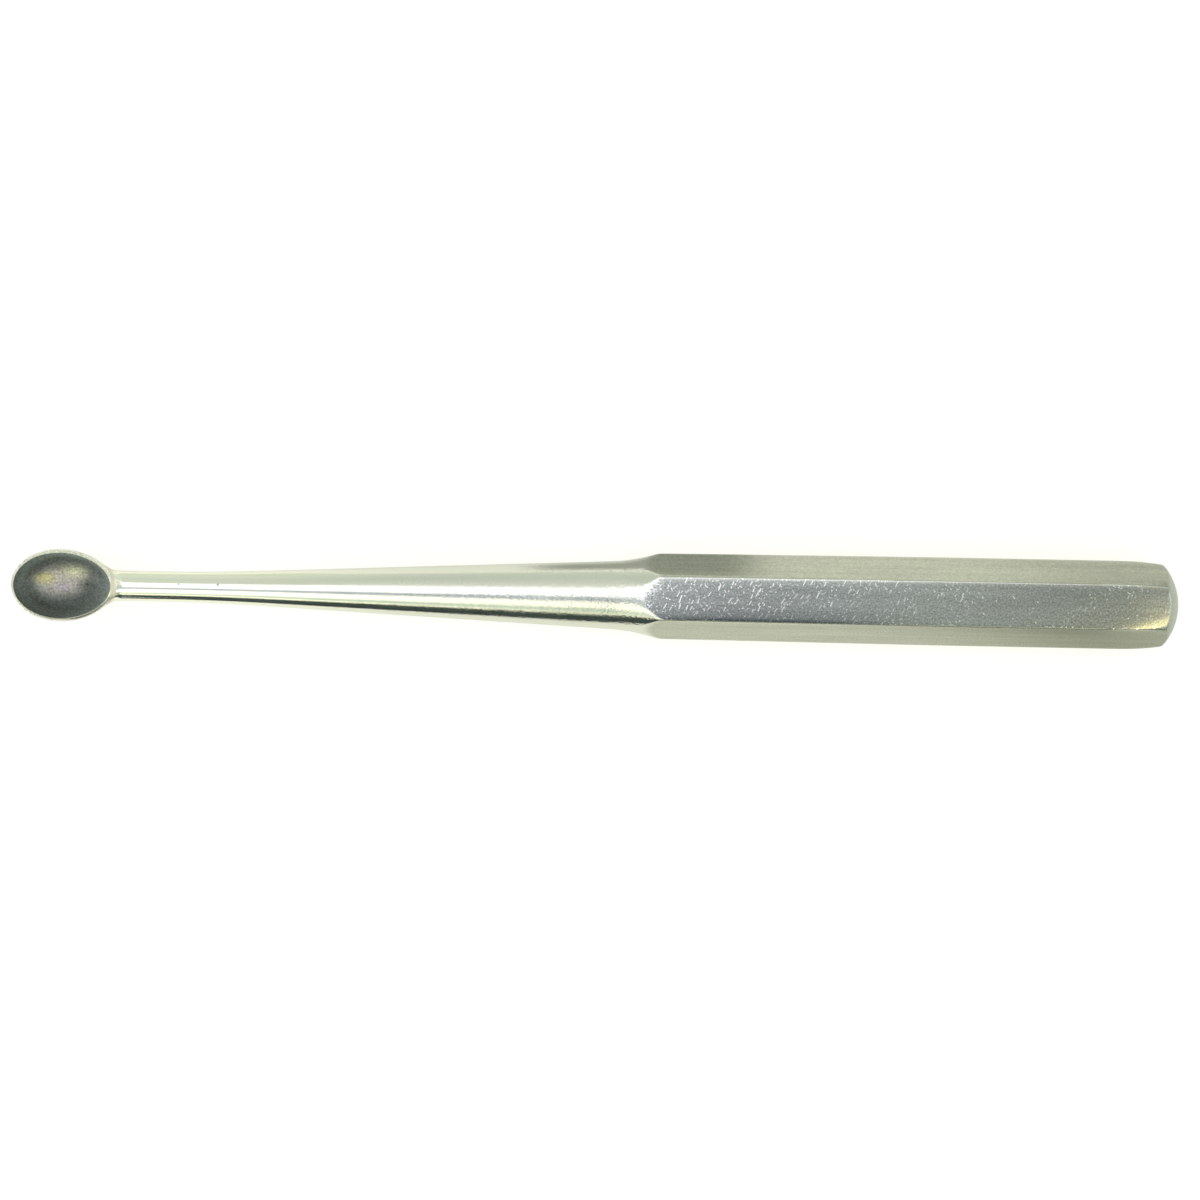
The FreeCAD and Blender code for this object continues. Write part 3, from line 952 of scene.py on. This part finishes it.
def brushed_steel():
    """Flats of the grip, brushed lengthwise and darker towards the end with painted shade; on top darker and
    bluer, with short scratches painted white as highlights.
    """
    material, tree, shader = new_metal("brushed_steel")
    along = (parts_of(tree, place_in_mm(tree)), "X")
    across, facet, ground, ridge = [attribute(tree, name) for name in ("across", "facet", "ground", "ridge")]
    flat = node(tree, "ShaderNodeCombineXYZ", {0: along, 1: across, 2: facet}), 0
    brushing = stretched_noise(tree, flat, *BRUSH_NOISE)
    grain = stretched_noise(tree, flat, *GRAIN_NOISE)
    on_top = maths(tree, "LESS_THAN", facet, 0.5)
    # Wear of the upper flat with its white painted as highlights, and the painted highlight at its tip
    worn = maths(tree, "MULTIPLY", wear_and_highlight_share(tree, flat, along, across, grain), on_top)
    toned = mixed(tree, on_top, FLAT_COLOUR, TOP_FLAT_COLOUR)
    toned = scaled(tree, toned, streaked(tree, flat, brushing, grain, on_top))
    # Painted shade: the flats grow darker towards the end.
    toned = scaled(tree, toned, between(tree, along, *PAINTED_SHADE_TO_END))
    # Scratches and the tip painted white as highlights
    scratched = mixed(tree, worn, toned, SCRATCH_HIGHLIGHT_COLOUR)
    far_ridge = maths(tree, "MULTIPLY", ridge, between(tree, across, *FAR_RIDGE))
    polished = maths(tree, "MAXIMUM", maths(tree, "SUBTRACT", 1.0, ground), far_ridge)
    cut = maths(tree, "MULTIPLY", worn, -SCRATCH_SHARE)
    height = maths(tree, "MULTIPLY_ADD", brushing, BRUSHING_SHARE, cut)
    feed(tree, shader, "Base Color", mixed(tree, polished, scratched, POLISHED_COLOUR))
    feed(tree, shader, "Roughness", flat_roughness(tree, on_top, ground, (ridge, worn)))
    feed(tree, shader, "Normal", bumps(tree, maths(tree, "MULTIPLY", height, ground), FLAT_MARKS))
    return material


def domed_steel():
    """Turned end, with a cloudy tone."""
    material, tree, shader = new_metal("turned_end")
    grain = stretched_noise(tree, place_in_mm(tree), *END_NOISE)
    feed(tree, shader, "Base Color", scaled(tree, END_COLOUR, between(tree, grain, *END_TONE)))
    shader.inputs["Roughness"].default_value = END_ROUGHNESS
    return material


def ground_rim():
    """Bright ground bevel round the mouth of the cup."""
    material, tree, shader = new_metal("ground_rim")
    grain = stretched_noise(tree, place_in_mm(tree), *RIM_NOISE)
    feed(tree, shader, "Base Color", mixed(tree, between(tree, grain, *BRIGHT_GRAIN), RIM_DULL, RIM_BRIGHT))
    shader.inputs["Roughness"].default_value = RIM_ROUGHNESS
    return material


def blasted_hollow():
    """Matt inside of the cup, with a dark ring of painted shade round its paler bottom of painted light, on
    which lie painted shade, painted highlights, a lilac spot and a pit.
    """
    material, tree, shader = new_metal("blasted_hollow")
    place = place_in_mm(tree)
    pale = oval_radius(tree, place, PALE_MIDDLE, MOUTH_SIZE)
    whole = oval_radius(tree, place, MOUTH_MIDDLE, MOUTH_SIZE)
    radius = blended(tree, between(tree, whole, *PALE_CENTRED), pale, whole)
    lit_bottom_tone, shaded_ring_tone, lit_brim_tone = linear(LIT_BOTTOM_TONE), linear(SHADED_RING_TONE), linear(LIT_BRIM_TONE)
    stops = [(PALE_END, lit_bottom_tone), (RING_START, shaded_ring_tone), (RING_END, shaded_ring_tone), (BRIM_START, lit_brim_tone)]
    tones = colour_ramp(tree, radius, stops)
    away = vectors(tree, "SUBTRACT", place, MOUTH_MIDDLE)
    inner = vectors(tree, "DOT_PRODUCT", away, INNER_SHADE, "Value")
    outer = vectors(tree, "DOT_PRODUCT", away, OUTER_SHADE, "Value")
    shade = blended(tree, between(tree, whole, *SHADE_TURNS), inner, outer)
    colour = scaled(tree, tones, maths(tree, "ADD", shade, 1.0))
    # Painted shade and painted highlights, a lilac spot and the pit
    for spot, half_sizes, spot_colour, strength in SHADE_HIGHLIGHT_AND_PIT_SPOTS:
        colour = with_spot(tree, place, colour, spot, half_sizes, spot_colour, strength)
    grain = stretched_noise(tree, place, *HOLLOW_NOISE)
    feed(tree, shader, "Base Color", scaled(tree, colour, between(tree, grain, *HOLLOW_SPECKLE)))
    feed(tree, shader, "Normal", bumps(tree, grain, HOLLOW_GRAIN))
    shader.inputs["Roughness"].default_value = HOLLOW_ROUGHNESS
    return material


bpy.context.scene.view_settings.view_transform = "Standard"
make_camera()
make_world()
make_floor()
for card in CARDS:
    make_card(*card)

mesh = make_instrument()
for material in (polished_steel(), brushed_steel(), domed_steel(), ground_rim(), blasted_hollow()):
    mesh.materials.append(material)
instrument = bpy.data.objects.new("curette_steel", mesh)
bpy.context.collection.objects.link(instrument)
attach(instrument, "root")
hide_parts("curette")
